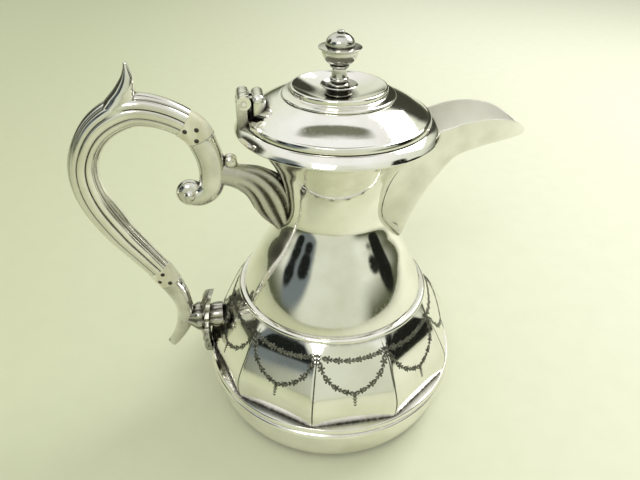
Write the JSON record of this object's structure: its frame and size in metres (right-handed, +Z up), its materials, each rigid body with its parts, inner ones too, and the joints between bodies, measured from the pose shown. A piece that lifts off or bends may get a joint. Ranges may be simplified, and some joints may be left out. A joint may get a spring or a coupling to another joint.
{
  "type": "coffee pot",
  "caption": "Tall metal coffee pot with a panelled bowl, waisted neck, open beak spout, reeded scroll handle and a domed lid that turns on a raised hinge.",
  "frame": {"origin": "centre of the flat foot, on the axis of the pot, on the table", "axes": "+Z up along the axis of the pot, +X towards the spout, -X towards the handle"},
  "size_m": [0.2292, 0.15, 0.217],
  "materials": {
    "silver_plate": "polished silver plate with dark tarnish in the crevices",
    "bone_collar": "smooth pale bone",
    "dark_pin": "dull dark metal",
    "brass_fitting": "dull brass"
  },
  "bodies": {
    "pot": {"base_bowl": "silver_plate", "girdle_ring": "silver_plate", "panelled_bowl": "silver_plate", "shoulder_ring": "silver_plate", "neck": "silver_plate", "rim_ring": "silver_plate", "spout": "silver_plate", "upper_bracket": "silver_plate", "upper_socket": "silver_plate", "upper_insulator": "bone_collar", "handle_grip": "silver_plate", "thumb_leaf": "silver_plate", "lower_insulator": "bone_collar", "lower_socket": "silver_plate", "lower_bracket": "silver_plate", "insulator_pins": "dark_pin", "hinge_bracket": "silver_plate", "hinge_pin": "dark_pin"},
    "lid": {"lid_dome": "silver_plate", "lid_bezel": "silver_plate", "lid_cap": "silver_plate", "hinge_leaf": "silver_plate", "finial_foot": "silver_plate", "finial_stem": "silver_plate", "finial_urn": "silver_plate", "finial_cap": "silver_plate", "finial_stud": "brass_fitting", "finial_nut": "brass_fitting"}
  },
  "joints": [
    {"name": "lid_hinge", "type": "hinge", "parent": "pot", "child": "lid", "pos_m": [-0.0449, 0, 0.1878], "axis": [0, -1, 0], "range_deg": [0, 100]}
  ]
}
